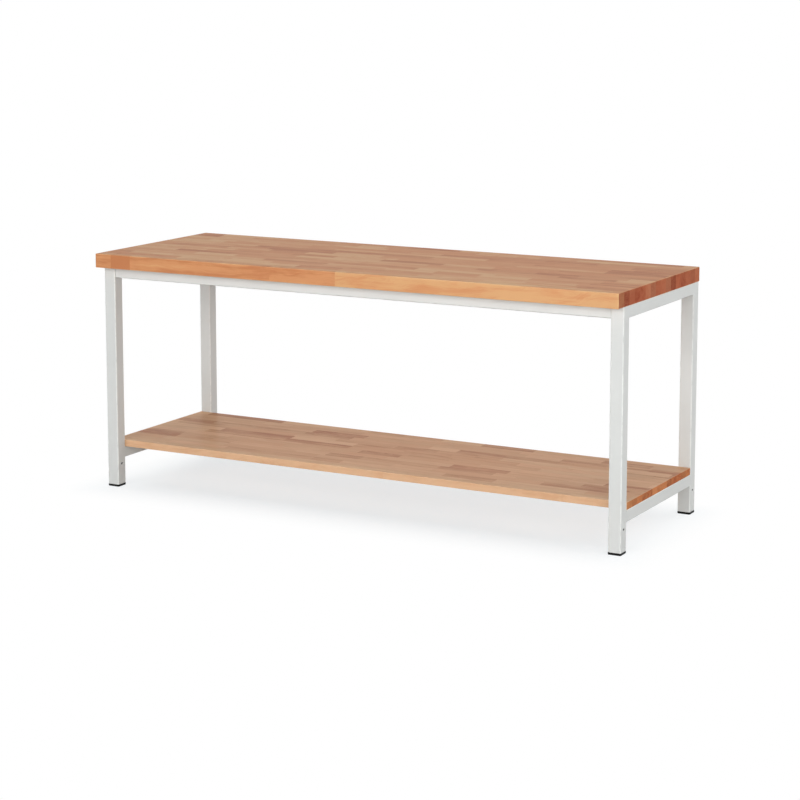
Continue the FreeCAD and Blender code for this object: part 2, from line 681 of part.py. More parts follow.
def build():
    """Builds every sub-part."""
    worktop = make_board(
        "worktop",
        "sizes.top_length",
        "sizes.top_depth",
        "sizes.top_thickness",
        "sizes.top_edge_radius",
        worktop_screw_places(),
        "sizes.top_screw_diameter",
        "sizes.top_screw_length - sizes.rail_wall + sizes.pilot_extra",
    )
    place(worktop, "0", "0", FRAME_TOP)
    keep(worktop, "worktop")
    shelf_screws = [
        (along, f"({across}) - {FRAME_MIDDLE}") for along, across in end_screw_places()
    ]
    shelf = make_board(
        "shelf_board",
        f"2 * {FRAME_END}",
        f"{END_RAIL_LENGTH} - 2 * sizes.shelf_leg_gap",
        "sizes.shelf_thickness",
        "sizes.shelf_edge_radius",
        shelf_screws,
        "sizes.shelf_screw_diameter",
        "sizes.shelf_screw_length - sizes.rail_wall + sizes.pilot_extra",
    )
    place(shelf, "0", FRAME_MIDDLE, SHELF_BOTTOM)
    keep(shelf, "shelf_board")

    for end, end_sign in ENDS:
        for side, side_sign in SIDES:
            outer = FRAME_FRONT if side_sign < 0 else FRAME_BACK
            centre_y = f"{outer} - {side_sign} * sizes.leg_section / 2"
            make_leg(f"leg_{side}_{end}", end_sign, centre_y)
            make_foot(f"foot_cap_{side}_{end}", end_sign, centre_y)
            inner = INNER_FRONT if side_sign < 0 else INNER_BACK
            corner_x = f"{end_sign} * {END_RAIL_INSIDE}"
            make_bracket(f"corner_bracket_{side}_{end}", CORNER_TURNS[end, side], corner_x, inner)
        make_end_rail(f"upper_end_rail_{end}", end_sign, UPPER_RAIL_CENTRE, "top_screw", True)
        make_end_rail(f"lower_end_rail_{end}", end_sign, LOWER_RAIL_CENTRE, "shelf_screw", False)
        make_welds(f"weld_beads_{end}", end, end_sign)
    for side, side_sign in SIDES:
        make_long_rail(f"long_rail_{side}", side_sign)

    keep_group("frame_bolts", make_bolt(), bolt_placements(number("sizes.bracket_thickness")))
    keep_group("rivet_nuts", make_rivet_nut(), bolt_placements(0))
    top_screw = make_wood_screw(
        "top_screw", "sizes.top_screw_diameter", "sizes.top_screw_length", "sizes.top_screw_head"
    )
    keep_group("worktop_screws", top_screw, screw_placements(worktop_screw_places(), FRAME_TOP))
    shelf_screw = make_wood_screw(
        "shelf_screw", "sizes.shelf_screw_diameter", "sizes.shelf_screw_length", "sizes.shelf_screw_head"
    )
    keep_group("shelf_screws", shelf_screw, screw_placements(end_screw_places(), SHELF_BOTTOM))


def check_and_write():
    """Stops if any object failed, then writes each sub-part to its own file."""
    doc.recompute()
    for item in doc.Objects:
        if "Invalid" in item.State or "Error" in item.State:
            raise RuntimeError(f"{item.Label} failed: {item.State}")
    os.makedirs("parts", exist_ok=True)
    for item in sub_parts:
        if item.Shape.isNull() or not item.Shape.isValid():
            raise RuntimeError(f"{item.Label} has no valid shape")
        item.Shape.exportStep(f"parts/{item.Label}.step")
        box = item.Shape.BoundBox
        spans = ((box.XMin, box.XMax), (box.YMin, box.YMax), (box.ZMin, box.ZMax))
        places = ", ".join(f"{low:.1f} to {high:.1f}" for low, high in spans)
        print(f"{item.Label}: {len(item.Shape.Solids)} solids, {item.Shape.Volume:.0f} mm3, at {places}")


fill_sheet()
build()
check_and_write()
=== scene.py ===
"""Finish of the assembly table: oiled beech boards, powder-coated tubes, plastic feet and zinc fasteners."""

import math
from functools import partial

import bmesh
import bpy
from mathutils import Matrix, Vector


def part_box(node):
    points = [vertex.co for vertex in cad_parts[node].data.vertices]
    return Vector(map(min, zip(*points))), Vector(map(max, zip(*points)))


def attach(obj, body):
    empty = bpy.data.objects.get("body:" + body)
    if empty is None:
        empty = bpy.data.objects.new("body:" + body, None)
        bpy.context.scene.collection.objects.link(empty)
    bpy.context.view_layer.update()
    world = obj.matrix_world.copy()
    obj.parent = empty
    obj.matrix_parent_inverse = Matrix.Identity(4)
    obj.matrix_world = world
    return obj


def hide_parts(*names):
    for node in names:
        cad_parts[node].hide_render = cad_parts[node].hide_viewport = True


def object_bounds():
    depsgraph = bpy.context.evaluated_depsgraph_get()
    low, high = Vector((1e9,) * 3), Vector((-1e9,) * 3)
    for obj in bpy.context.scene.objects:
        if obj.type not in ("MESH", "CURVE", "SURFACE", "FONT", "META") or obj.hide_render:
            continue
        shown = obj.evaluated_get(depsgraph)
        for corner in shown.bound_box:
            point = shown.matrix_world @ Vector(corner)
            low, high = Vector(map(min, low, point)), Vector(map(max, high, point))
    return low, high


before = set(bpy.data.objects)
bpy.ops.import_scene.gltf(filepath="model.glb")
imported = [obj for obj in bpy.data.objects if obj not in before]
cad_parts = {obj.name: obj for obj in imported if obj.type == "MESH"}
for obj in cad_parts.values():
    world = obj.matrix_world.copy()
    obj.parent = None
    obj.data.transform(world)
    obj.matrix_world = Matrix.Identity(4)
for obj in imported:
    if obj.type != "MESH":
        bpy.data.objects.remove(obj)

bl_info = {
    "name": "Assembly table finish",
    "version": (1, 0, 0),
    "blender": (4, 5, 0),
    "location": "3D View > Sidebar > Assembly table",
    "description": "Gives the assembly table its beech, powder coat, plastic and zinc, and sets the studio",
    "category": "Material",
}

CAD_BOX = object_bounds()
MM = 0.001

ENDS = ("left", "right")
SIDES = ("front", "back")
LEGS = [f"leg_{side}_{end}" for side in SIDES for end in ENDS]
FEET = [f"foot_cap_{side}_{end}" for side in SIDES for end in ENDS]
BRACKETS = [f"corner_bracket_{side}_{end}" for side in SIDES for end in ENDS]
RAILS = [f"{level}_end_rail_{end}" for level in ("upper", "lower") for end in ENDS]
RAILS += [f"long_rail_{side}" for side in SIDES]


def linear(red, green, blue):
    """A colour given in display values of 0 to 255, as Blender's linear colour."""
    channels = []
    for value in (red, green, blue):
        value = value / 255
        channels.append(value / 12.92 if value <= 0.04045 else ((value + 0.055) / 1.055) ** 2.4)
    return (*channels, 1.0)


# The two boards. The seed keeps a board's random draws apart from the other's. The front stave is given by
# the place along X where each of its pieces starts, and the piece's tone from pale to dark.
WORKTOP = {
    "node": "worktop",
    "look": "worktop",
    "seed": 4.0,
    "front_stave": (
        (-1.0, 0.62), (-0.933, 1.0), (-0.851, 0.56), (-0.276, 0.50), (-0.019, 0.10), (0.968, 0.0)
    ),
    # painted light: this tint makes the front stave's upright faces yellower than its top
    "front_face_light_tint": (0.985, 1.0, 0.885, 1.0),
    "end_tint": (0.645, 0.40, 0.39, 1.0),
}
SHELF = {
    "node": "shelf_board",
    "look": "shelf",
    "seed": 9.0,
    "front_stave": ((-0.998, 0.12), (-0.52, 0.02), (0.11, 0.10), (0.63, 0.0)),
    # painted light, as on the worktop: the tint of the front stave's upright faces
    "front_face_light_tint": (1.0, 1.02, 0.99, 1.0),
    "end_tint": (0.80, 0.50, 0.325, 1.0),
}

# Numbers that keep the draws for a stave, for a piece and for its figure apart
STAVE_DRAW = 3.0
PIECE_DRAW = 11.5
FIGURE_DRAW = 103.5

# Spread and least share of a piece's length and of a joint's place in its cell, and the cells of a shift
LENGTH_SHARE = (0.6, 0.7)
JOINT_SHARE = (0.7, 0.15)
STAVE_SHIFT = 40.0

# Tone: how much pieces differ, how far a laid piece keeps to the board's on its level face, its extra figure,
# what heartwood, latewood and flecks add, and how dark a glue line is. A laid piece's tones are partly its
# own and partly painted light, for the front lamps on the front face
TONE_SPREAD = 0.62
LEVEL_TONE = 0.7
LAID_FIGURE = 0.9
DARKER = 0.12
GLUE_DARKNESS = 0.45

# Beech, in metres: how far the pith lies from a piece, and leans in each metre of it, how far the rings
# wander off their circles, and the half widths where a glue line and a butt joint fade out and are full
PITH_NEAREST = 0.035
PITH_SPREAD = 0.16
PITH_LEAN = 0.16
RING_WANDER = 0.020
LAID_RING_WANDER = 0.035
GLUE_LINE = (0.00035, 0.0001)
BUTT_LINE = (0.0004, 0.0001)
FAR_FROM_BUTT = 9.0

# How often each effect repeats in a metre along X, Y and Z
WANDER_SCALE = (5.5, 14.0, 14.0)
STREAK_SCALE = (1.5, 70.0, 70.0)
CLOUD_SCALE = (9.0, 24.0, 24.0)
FIBRE_SCALE = (26.0, 950.0, 950.0)
FLECK_SCALE = (230.0, 1250.0, 1250.0)
RIM_PATCH_SCALE = (45.0, 45.0, 45.0)
SMEAR_SCALE = (7.0, 7.0, 7.0)
RUB_SCALE = (30.0, 90.0, 60.0)
COAT_DRIFT_SCALE = (5.0, 5.0, 5.0)
PLASTIC_GRAIN_SCALE = (1400.0, 1400.0, 1400.0)
ZINC_MOTTLE_SCALE = (260.0, 260.0, 260.0)
ZINC_BRUSH_SCALE = (900.0, 900.0, 3200.0)

# Colours of figure and marks, and of the painted highlights and painted shade on rims
BLUSH = (0.99, 0.90, 0.87, 1.0)
END_GRAIN_LINE = (0.55, 0.46, 0.44, 1.0)
COAT_MARK = linear(196, 192, 182)
COAT_RIM_HIGHLIGHT = linear(232, 234, 231)
COAT_RIM_SHADE = linear(146, 144, 139)
BARE_STEEL = (linear(66, 63, 60), linear(84, 76, 68))
PLASTIC_RIM_HIGHLIGHT = linear(28, 27, 27)
PLASTIC_MARK = linear(44, 42, 40)
ZINC_MOTTLE = linear(178, 182, 190)
ZINC_MARK = linear(150, 148, 142)

# Where the fasteners sit on the rails, and the wall of the tubes
BOLT_REACHES = (0.023, 0.047)
BOLT_SEAT = 0.004
LONG_SCREW_REACH = 0.8
END_SCREW_REACH = 0.15
TUBE_WALL = 0.002

# Mesh detail
TURNED_SIDES = 36
THREAD_ROWS_PER_TURN = 6
THREAD_FLANK = 2.6
SHARP_ANGLE = math.radians(32)

# Floor: the grey that lights the table, the paint and the glow that show beside the table, and the distances
# from the table's outline between which these give way to plain white. The dimmer, bluish glow near and under
# the table is a painted shadow that adds to the real one
FLOOR_GREY = (0.80, 0.80, 0.80, 1.0)
FLOOR_NEAR_PAINT = (0.45, 0.45, 0.45, 1.0)
FLOOR_PAINTED_SHADOW_GLOW = (0.582, 0.619, 0.640, 1.0)
FLOOR_CHANGE = (-0.166, 0.150)
BLACK = (0.0, 0.0, 0.0, 1.0)
WHITE = (1.0, 1.0, 1.0, 1.0)

# Each lamp: its setting for the power, its turn from the front and its rise in degrees, its distance, width
# and height in metres, and whether gloss shows it
LAMPS = {
    "front_light": ("front_power", -8, 14, 8.0, 6.0, 3.2, True),
    "corner_light": ("corner_power", 40, 15, 8.0, 6.0, 3.2, True),
    "side_light": ("side_power", 93, 14, 5.0, 3.0, 2.4, True),
    "top_light": ("top_power", 0, 88, 4.0, 3.6, 2.2, True),
    "left_light": ("left_power", 262, 16, 6.0, 3.6, 3.0, False),
    "back_left_light": ("back_power", 210, 20, 7.0, 4.0, 3.0, False),
    "back_right_light": ("back_power", 150, 20, 7.0, 4.0, 3.0, False),
}
LAMP_TARGET = (0.0, 0.0, 0.45)


# Mesh helpers


def lathe(mesh, place, rows):
    """Adds a turned solid; each row is a height and a radius, or a function of the angle that gives it."""
    rings = []
    for height, radius in rows:
        if radius == 0:
            rings.append([mesh.verts.new(place @ Vector((0, 0, height)))])
            continue
        ring = []
        for step in range(TURNED_SIDES):
            angle = 2 * math.pi * step / TURNED_SIDES
            reach = radius(angle) if callable(radius) else radius
            spot = Vector((reach * math.cos(angle), reach * math.sin(angle), height))
            ring.append(mesh.verts.new(place @ spot))
        rings.append(ring)
    skin(mesh, rings)


def skin(mesh, rings, capped=False):
    """Joins rings of as many vertices, or of one, into a surface, and closes its two ends if capped."""
    sides = max(len(ring) for ring in rings)
    for lower, upper in zip(rings, rings[1:]):
        for step in range(sides):
            turns = ((lower, step), (lower, step + 1), (upper, step + 1), (upper, step))
            corners = [ring[turn % sides % len(ring)] for ring, turn in turns]
            mesh.faces.new(dict.fromkeys(corners))
    if capped:
        mesh.faces.new(rings[0])
        mesh.faces.new(rings[-1])


def finish_piece(name, mesh, material, replaced):
    """Turns a bmesh into a piece that rides on the table and stands for a CAD node."""
    bmesh.ops.recalc_face_normals(mesh, faces=mesh.faces)
    data = bpy.data.meshes.new(name)
    mesh.to_mesh(data)
    mesh.free()
    data.polygons.foreach_set("use_smooth", [True] * len(data.polygons))
    data.set_sharp_from_angle(angle=SHARP_ANGLE)
    data.materials.append(find_material(material))
    piece = bpy.data.objects.new(name, data)
    bpy.context.scene.collection.objects.link(piece)
    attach(piece, "root")
    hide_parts(replaced)


def thread_rows(start, end, pitch, outer, core):
    """Rows of a screw thread between two heights."""
    rows = []
    count = round((end - start) / pitch * THREAD_ROWS_PER_TURN)
    for index in range(count + 1):
        height = start + (end - start) * index / count

        def radius(angle, height=height):
            phase = (height / pitch - angle / (2 * math.pi)) % 1.0
            return core + (outer - core) * max(0.0, 1.0 - abs(phase - 0.5) * THREAD_FLANK)

        rows.append((height, radius))
    return rows


# Shader node helpers


def add(tree, kind, inputs=None, **settings):
    """Adds a node, sets its properties, and sets or links its inputs by name or number."""
    node = tree.nodes.new(kind)
    for name, value in settings.items():
        setattr(node, name, value)
    for name, value in (inputs or {}).items():
        if isinstance(value, bpy.types.NodeSocket):
            tree.links.new(value, node.inputs[name])
        else:
            node.inputs[name].default_value = value
    return node


def maths(operation, tree, *values):
    """The result of a Math node on numbers or sockets."""
    return add(tree, "ShaderNodeMath", dict(enumerate(values)), operation=operation).outputs[0]


# The Math nodes in most use; each takes a tree, then its numbers or sockets
absolute = partial(maths, "ABSOLUTE")
plus = partial(maths, "ADD")
minus = partial(maths, "SUBTRACT")
times = partial(maths, "MULTIPLY")
times_plus = partial(maths, "MULTIPLY_ADD")
over = partial(maths, "DIVIDE")
larger = partial(maths, "MAXIMUM")
smaller = partial(maths, "MINIMUM")


def vector_of(tree, x, y, z):
    """A vector made of three numbers or sockets."""
    return add(tree, "ShaderNodeCombineXYZ", {0: x, 1: y, 2: z}).outputs[0]


def parts_of(tree, vector):
    """The three numbers of a vector or a colour."""
    return add(tree, "ShaderNodeSeparateXYZ", {0: vector}).outputs


def length_of(tree, vector):
    """The length of a vector."""
    return add(tree, "ShaderNodeVectorMath", {0: vector}, operation="LENGTH").outputs["Value"]


def noise(tree, vector, scale, detail=2.0, roughness=0.5):
    """A noise value about 0.5 at each point, scaled along each axis unless the scale is None."""
    if scale:
        vector = add(tree, "ShaderNodeVectorMath", {0: vector, 1: scale}, operation="MULTIPLY").outputs[0]
    inputs = {"Vector": vector, "Scale": 1.0, "Detail": detail, "Roughness": roughness}
    return add(tree, "ShaderNodeTexNoise", inputs).outputs["Fac"]


def random_of(tree, vector):
    """Three random numbers from 0 to 1 that stay the same for the same vector."""
    return parts_of(tree, add(tree, "ShaderNodeTexWhiteNoise", {"Vector": vector}).outputs["Color"])


def fade(tree, value, start, end):
    """Rises smoothly from 0 to 1 as a value goes from start to end, and no further."""
    inputs = {"Value": value, "From Min": start, "From Max": end}
    return add(tree, "ShaderNodeMapRange", inputs, interpolation_type="SMOOTHSTEP").outputs["Result"]


def blend(tree, factor, first, second, mode="MIX"):
    """Two colours mixed by a factor."""
    inputs = {0: factor, 6: first, 7: second}
    return add(tree, "ShaderNodeMix", inputs, data_type="RGBA", blend_type=mode).outputs[2]


def choose(tree, factor, first, second):
    """The first number where the factor is 0, and the second where it is 1."""
    return add(tree, "ShaderNodeMix", {0: factor, 2: first, 3: second}, data_type="FLOAT").outputs[0]


def new_group(name, inputs, outputs):
    """A shader node group, its socket names listed by type; returns its tree, inputs and output node."""
    tree = bpy.data.node_groups.new(name, "ShaderNodeTree")
    for way, sockets in (("INPUT", inputs), ("OUTPUT", outputs)):
        for kind, names in sockets.items():
            for socket in names:
                tree.interface.new_socket(socket, in_out=way, socket_type=f"NodeSocket{kind}")
    entry = tree.nodes.new("NodeGroupInput")
    return tree, entry.outputs, tree.nodes.new("NodeGroupOutput")


def put_out(tree, exit_node, **results):
    """Links results to a group's outputs; an underscore in a name stands for a space."""
    for name, socket in results.items():
        tree.links.new(socket, exit_node.inputs[name.replace("_", " ")])


def place_group(tree, name, **inputs):
    """Places a node group, made at its first use; an underscore in an input's name stands for a space."""
    if name not in bpy.data.node_groups:
        GROUP_MAKERS[name](name)
    inputs = {socket.replace("_", " "): value for socket, value in inputs.items()}
    return add(tree, "ShaderNodeGroup", inputs, node_tree=bpy.data.node_groups[name]).outputs


def empty_material(name):
    """A material without nodes, and its tree."""
    material = bpy.data.materials.new(name)
    material.use_nodes = True
    material.node_tree.nodes.clear()
    return material, material.node_tree


def new_material(name):
    """A material with a Principled BSDF; returns both, its tree, the object coordinates and the normal."""
    material, tree = empty_material(name)
    surface = tree.nodes.new("ShaderNodeBsdfPrincipled")
    add(tree, "ShaderNodeOutputMaterial", {"Surface": surface.outputs[0]})
    place = tree.nodes.new("ShaderNodeTexCoord").outputs["Object"]
    facing = tree.nodes.new("ShaderNodeNewGeometry").outputs["Normal"]
    return material, tree, surface, place, facing


def lay_finish(tree, surface, colour, roughness, height, distance, strength):
    """Links a surface's colour and roughness, and roughens it by a height that stands for a distance."""
    relief = add(tree, "ShaderNodeBump", {"Height": height, "Distance": distance, "Strength": strength})
    tree.links.new(colour, surface.inputs["Base Color"])
    tree.links.new(roughness, surface.inputs["Roughness"])
    tree.links.new(relief.outputs["Normal"], surface.inputs["Normal"])


def dress(nodes, material):
    """Gives CAD nodes a material in place of the plain one."""
    for name in nodes:
        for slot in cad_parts[name].material_slots:
            slot.material = material


def find_material(name):
    """A material made earlier, or an error if its operator hasn't run."""
    material = bpy.data.materials.get(name)
    if material is None:
        raise RuntimeError(f"material {name} is missing")
    return material


# Node groups that more than one material uses


def make_stave_group(name):
    """Beech staves glued edge to edge along X, each made of pieces butted end to end."""
    numbers = ("Front", "Depth", "Staves", "Piece Length", "Middle Height", "Ring Spacing", "Seed", "Tone")
    laid_numbers = ("Laid", "Laid Piece", "Laid Butt", "Laid Tone")
    colours = ("Pale", "Middle", "Dark", "End Tint", "Laid Tint")
    tree, given, result = new_group(
        name,
        {"Vector": ("Place", "Facing"), "Float": numbers + laid_numbers, "Color": colours},
        {"Color": ("Color",), "Float": ("Height", "Gloss", "End Grain")},
    )
    x, y, z = parts_of(tree, given["Place"])

    # Which stave, and how far across it
    across = over(tree, minus(tree, y, given["Front"]), given["Depth"])
    across = times(tree, across, given["Staves"])
    last = minus(tree, given["Staves"], 0.001)
    across = larger(tree, smaller(tree, across, last), 0.001)
    stave = maths("FLOOR", tree, across)
    across = minus(tree, across, stave)
    width = over(tree, given["Depth"], given["Staves"])
    own = random_of(tree, vector_of(tree, stave, given["Seed"], STAVE_DRAW))
    laid = times(tree, maths("LESS_THAN", tree, stave, 0.5), given["Laid"])

    # Which piece of the stave: one butt joint somewhere in each cell along X
    length = times(tree, given["Piece Length"], times_plus(tree, own[0], *LENGTH_SHARE))
    along = plus(tree, over(tree, x, length), times(tree, own[1], STAVE_SHIFT))
    cell = maths("FLOOR", tree, along)
    along = minus(tree, along, cell)
    joint = random_of(tree, vector_of(tree, stave, cell, given["Seed"]))[0]
    joint = times_plus(tree, joint, *JOINT_SHARE)
    from_joint = minus(tree, along, joint)
    piece = plus(tree, cell, maths("GREATER_THAN", tree, from_joint, 0.0))
    local_x = times(tree, from_joint, length)
    butt = choose(tree, laid, absolute(tree, local_x), given["Laid Butt"])
    piece = choose(tree, laid, piece, given["Laid Piece"])
    local_x = choose(tree, laid, local_x, times(tree, x, 0.5))
    drawn = random_of(tree, vector_of(tree, piece, stave, plus(tree, given["Seed"], PIECE_DRAW)))
    drawn_too = random_of(tree, vector_of(tree, piece, stave, plus(tree, given["Seed"], FIGURE_DRAW)))

    # Growth rings about a pith that lies outside the piece and leans along it
    turn = times(tree, drawn[1], 2 * math.pi)
    reach = times_plus(tree, drawn[2], PITH_SPREAD, PITH_NEAREST)
    lean_y = times(tree, minus(tree, drawn_too[0], 0.5), PITH_LEAN)
    lean_z = times(tree, minus(tree, drawn_too[1], 0.5), PITH_LEAN)
    pith_y = times_plus(tree, local_x, lean_y, times(tree, maths("COSINE", tree, turn), reach))
    pith_z = times_plus(tree, local_x, lean_z, times(tree, maths("SINE", tree, turn), reach))
    local_y = times(tree, minus(tree, across, 0.5), width)
    local_z = minus(tree, z, given["Middle Height"])
    radial = length_of(tree, vector_of(tree, 0.0, minus(tree, local_y, pith_y), minus(tree, local_z, pith_z)))
    shifted_x = times_plus(tree, drawn_too[2], 9.0, x)
    shifted_y = times_plus(tree, drawn[0], 5.0, y)
    shifted = vector_of(tree, shifted_x, shifted_y, z)
    wander = minus(tree, noise(tree, shifted, WANDER_SCALE, 2.5), 0.5)
    wander_reach = times_plus(tree, laid, LAID_RING_WANDER, RING_WANDER)
    rings = over(tree, times_plus(tree, wander, wander_reach, radial), given["Ring Spacing"])
    uneven = noise(tree, vector_of(tree, times(tree, rings, 0.31), drawn_too[2], 0.0), None, 1.0)
    rings = times_plus(tree, uneven, 1.6, rings)
    latewood = maths("FRACT", tree, rings)
    latewood = times(tree, fade(tree, latewood, 0.2, 0.93), fade(tree, latewood, 1.0, 0.94))
    year = noise(tree, vector_of(tree, times(tree, rings, 0.23), drawn_too[0], 0.0), None, 2.0, 0.6)

    # Long soft streaks, clouds, fibres and the small dark flecks of beech
    streak = noise(tree, shifted, STREAK_SCALE, 3.0, 0.6)
    clouds = noise(tree, shifted, CLOUD_SCALE, 3.0, 0.55)
    fibre = noise(tree, shifted, FIBRE_SCALE, 2.0, 0.6)
    small = add(tree, "ShaderNodeVectorMath", {0: shifted, 1: FLECK_SCALE}, operation="MULTIPLY").outputs[0]
    cells = add(tree, "ShaderNodeTexVoronoi", {"Vector": small, "Scale": 1.0, "Randomness": 1.0}).outputs
    chance = parts_of(tree, cells["Color"])[0]
    fleck = times(tree, fade(tree, cells["Distance"], 0.36, 0.18), fade(tree, chance, 0.45, 0.6))

    # The tone of each point, from pale to dark; a laid piece is nearer the board's own tone on its level
    # face, as its laid tones are partly painted light that belongs to the front face
    facing_x, _facing_y, facing_z = parts_of(tree, given["Facing"])
    level = absolute(tree, facing_z)
    laid_tone = choose(tree, times(tree, level, LEVEL_TONE), given["Laid Tone"], given["Tone"])
    tone = times_plus(tree, minus(tree, drawn[0], 0.5), TONE_SPREAD, given["Tone"])
    tone = choose(tree, laid, tone, laid_tone)
    figure = 0.0
    for value, share in ((clouds, 0.55), (streak, 0.60), (year, 0.80), (fibre, 0.25)):
        figure = times_plus(tree, minus(tree, value, 0.5), share, figure)
    tone = times_plus(tree, figure, times_plus(tree, laid, LAID_FIGURE, 1.0), tone)
    heart = times(tree, fade(tree, drawn[0], 0.80, 0.92), minus(tree, 1.0, laid))
    for mask in (times(tree, heart, streak), latewood, fleck):
        tone = times_plus(tree, mask, DARKER, tone)
    wood = blend(tree, fade(tree, tone, 0.0, 0.5), given["Pale"], given["Middle"])
    wood = blend(tree, fade(tree, tone, 0.5, 1.0), wood, given["Dark"])
    blush = times_plus(tree, drawn[2], 0.6, 0.4)
    blush = times(tree, blush, times_plus(tree, laid, -0.75, 1.0))
    wood = blend(tree, blush, wood, blend(tree, 1.0, wood, BLUSH, "MULTIPLY"))
    # painted light: the front stave's upright faces take the front tint, which its top doesn't, as the front
    # lamps fall on them
    upright = times_plus(tree, level, -0.8, 1.0)
    tinted = blend(tree, 1.0, wood, given["Laid Tint"], "MULTIPLY")
    wood = blend(tree, times(tree, laid, upright), wood, tinted)

    # End grain drinks more oil: darker and redder, its rings and pores plainer
    end_grain = fade(tree, absolute(tree, facing_x), 0.55, 0.9)
    end_wood = blend(tree, 1.0, wood, given["End Tint"], "MULTIPLY")
    end_line = times_plus(tree, latewood, 0.35, times(tree, fleck, 0.35))
    end_line = times_plus(tree, minus(tree, drawn_too[2], 0.25), 0.8, end_line)
    end_wood = blend(tree, end_line, end_wood, blend(tree, 1.0, end_wood, END_GRAIN_LINE, "MULTIPLY"))
    wood = blend(tree, end_grain, wood, end_wood)

    # Glue lines between staves and at the butt joints
    edge = minus(tree, 0.5, absolute(tree, minus(tree, across, 0.5)))
    edge = times(tree, edge, width)
    seam = larger(tree, fade(tree, edge, *GLUE_LINE), fade(tree, butt, *BUTT_LINE))
    wood = blend(tree, times(tree, seam, GLUE_DARKNESS), wood, given["Dark"])

    height = times_plus(tree, fibre, 0.45, times(tree, latewood, 0.2))
    height = times_plus(tree, fleck, -0.25, height)
    height = times_plus(tree, seam, -0.6, height)
    gloss = times_plus(tree, fibre, 0.5, times(tree, clouds, 0.5))
    put_out(tree, result, Color=wood, Height=height, Gloss=gloss, End_Grain=end_grain)


def make_rim_group(name):
    """A mask that is 1 on the rounded edges and corners of square pieces and 0 on their flats."""
    tree, given, result = new_group(name, {"Vector": ("Facing", "Place")}, {"Float": ("Mask",)})
    sides = add(tree, "ShaderNodeVectorMath", {0: given["Facing"]}, operation="ABSOLUTE").outputs[0]
    x, y, z = parts_of(tree, sides)
    flat = larger(tree, x, larger(tree, y, z))
    patches = noise(tree, given["Place"], RIM_PATCH_SCALE, 4.0, 0.6)
    put_out(tree, result, Mask=times(tree, fade(tree, flat, 0.99, 0.85), fade(tree, patches, 0.25, 0.6)))


def make_handling_group(name):
    """Faint cloudy smears and rubs that any handled surface gathers; 0 is clean, 1 is marked."""
    tree, given, result = new_group(name, {"Vector": ("Place",), "Float": ("Amount",)}, {"Float": ("Mask",)})
    smears = noise(tree, given["Place"], SMEAR_SCALE, 5.0, 0.65)
    rubs = noise(tree, given["Place"], RUB_SCALE, 3.0, 0.6)
    marks = times(tree, fade(tree, smears, 0.42, 0.7), fade(tree, rubs, 0.35, 0.75))
    put_out(tree, result, Mask=times(tree, marks, given["Amount"]))


GROUP_MAKERS = {
    "Beech staves": make_stave_group,
    "Rims": make_rim_group,
    "Handling marks": make_handling_group,
}


# Sizes and colours that a user would change


class BeechSettings(bpy.types.PropertyGroup):
    """Look of the two beech boards."""

    stave_width: bpy.props.FloatProperty(
        name="Stave width", description="Width of one glued stave", default=0.0437, unit="LENGTH"
    )
    piece_length: bpy.props.FloatProperty(
        name="Piece length", description="Usual length of one piece in a stave", default=0.25, unit="LENGTH"
    )
    ring_spacing: bpy.props.FloatProperty(
        name="Ring spacing", description="Distance between growth rings", default=0.0036, unit="LENGTH"
    )
    worktop_tone: bpy.props.FloatProperty(
        name="Worktop tone", description="0 is pale and 1 is dark",
        default=0.38, subtype="FACTOR", min=0, max=1
    )
    worktop_pale: bpy.props.FloatVectorProperty(
        name="Worktop pale", description="Palest wood of the worktop",
        default=linear(223, 183, 138)[:3], subtype="COLOR", min=0, max=1
    )
    worktop_middle: bpy.props.FloatVectorProperty(
        name="Worktop middle", description="Usual wood of the worktop",
        default=linear(211, 154, 111)[:3], subtype="COLOR", min=0, max=1
    )
    worktop_dark: bpy.props.FloatVectorProperty(
        name="Worktop dark", description="Darkest wood of the worktop",
        default=linear(184, 119, 81)[:3], subtype="COLOR", min=0, max=1
    )
    shelf_tone: bpy.props.FloatProperty(
        name="Shelf tone", description="0 is pale and 1 is dark",
        default=0.42, subtype="FACTOR", min=0, max=1
    )
    shelf_pale: bpy.props.FloatVectorProperty(
        name="Shelf pale", description="Palest wood of the shelf",
        default=linear(230, 196, 160)[:3], subtype="COLOR", min=0, max=1
    )
    shelf_middle: bpy.props.FloatVectorProperty(
        name="Shelf middle", description="Usual wood of the shelf",
        default=linear(217, 179, 142)[:3], subtype="COLOR", min=0, max=1
    )
    shelf_dark: bpy.props.FloatVectorProperty(
        name="Shelf dark", description="Darkest wood of the shelf",
        default=linear(184, 129, 98)[:3], subtype="COLOR", min=0, max=1
    )
    roughness: bpy.props.FloatProperty(
        name="Roughness", description="Middle roughness of the oiled wood",
        default=0.56, subtype="FACTOR", min=0, max=1
    )


class FrameSettings(bpy.types.PropertyGroup):
    """Look of the steel frame, the feet and the fasteners."""

    coat_colour: bpy.props.FloatVectorProperty(
        name="Coat colour", description="Powder coat",
        default=linear(204, 206, 204)[:3], subtype="COLOR", min=0, max=1
    )
    coat_roughness: bpy.props.FloatProperty(
        name="Coat roughness", description="Roughness of the powder coat",
        default=0.36, subtype="FACTOR", min=0, max=1
    )
    peel_size: bpy.props.FloatProperty(
        name="Orange peel size", description="Distance between the coat's ripples",
        default=0.0018, unit="LENGTH"
    )
    plastic_colour: bpy.props.FloatVectorProperty(
        name="Foot colour", description="Moulded plastic of the feet",
        default=linear(13, 13, 13)[:3], subtype="COLOR", min=0, max=1
    )
    zinc_colour: bpy.props.FloatVectorProperty(
        name="Zinc colour", description="Zinc plating of the fasteners",
        default=linear(205, 208, 212)[:3], subtype="COLOR", min=0, max=1
    )


